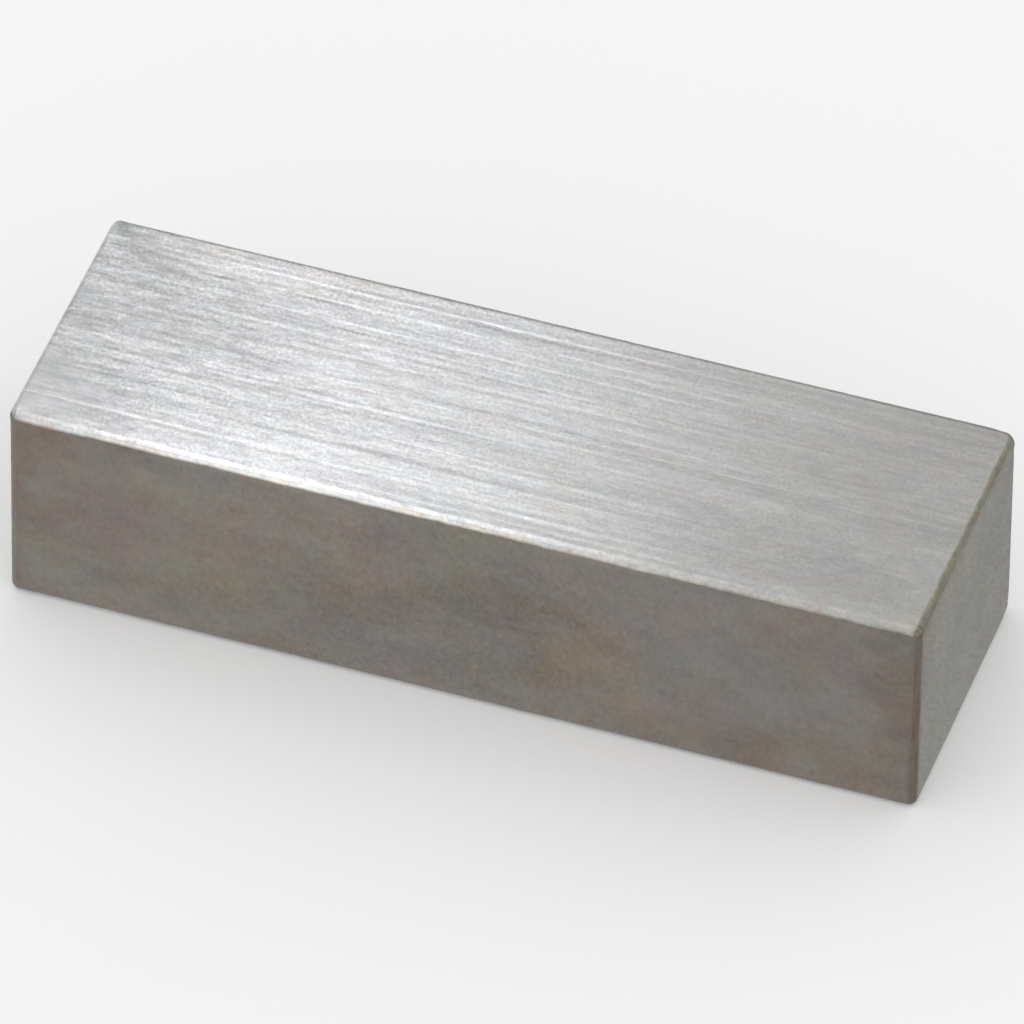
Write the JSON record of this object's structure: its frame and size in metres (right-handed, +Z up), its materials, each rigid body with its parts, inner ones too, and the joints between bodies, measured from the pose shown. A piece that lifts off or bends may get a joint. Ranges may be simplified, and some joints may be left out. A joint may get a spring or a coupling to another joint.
{
  "type": "gauge block",
  "caption": "Solid rectangular steel gauge block with two lapped measuring faces, ground side faces and small rounded edges, lying on a side face.",
  "frame": {"origin": "centre of the lower side face, which the block lies on", "axes": "+X along the 35 mm side of the section, +Y along the measuring length, square to the two measuring faces, +Z up along the 8.8 mm side of the section"},
  "size_m": [0.035, 0.0116, 0.0088],
  "materials": {
    "ground_steel": "hardened steel, fine ground lay along the long side on the side faces, lapped smooth on the measuring faces, edges broken by hand"
  },
  "bodies": {
    "root": {"gauge_block": "ground_steel"}
  },
  "joints": []
}
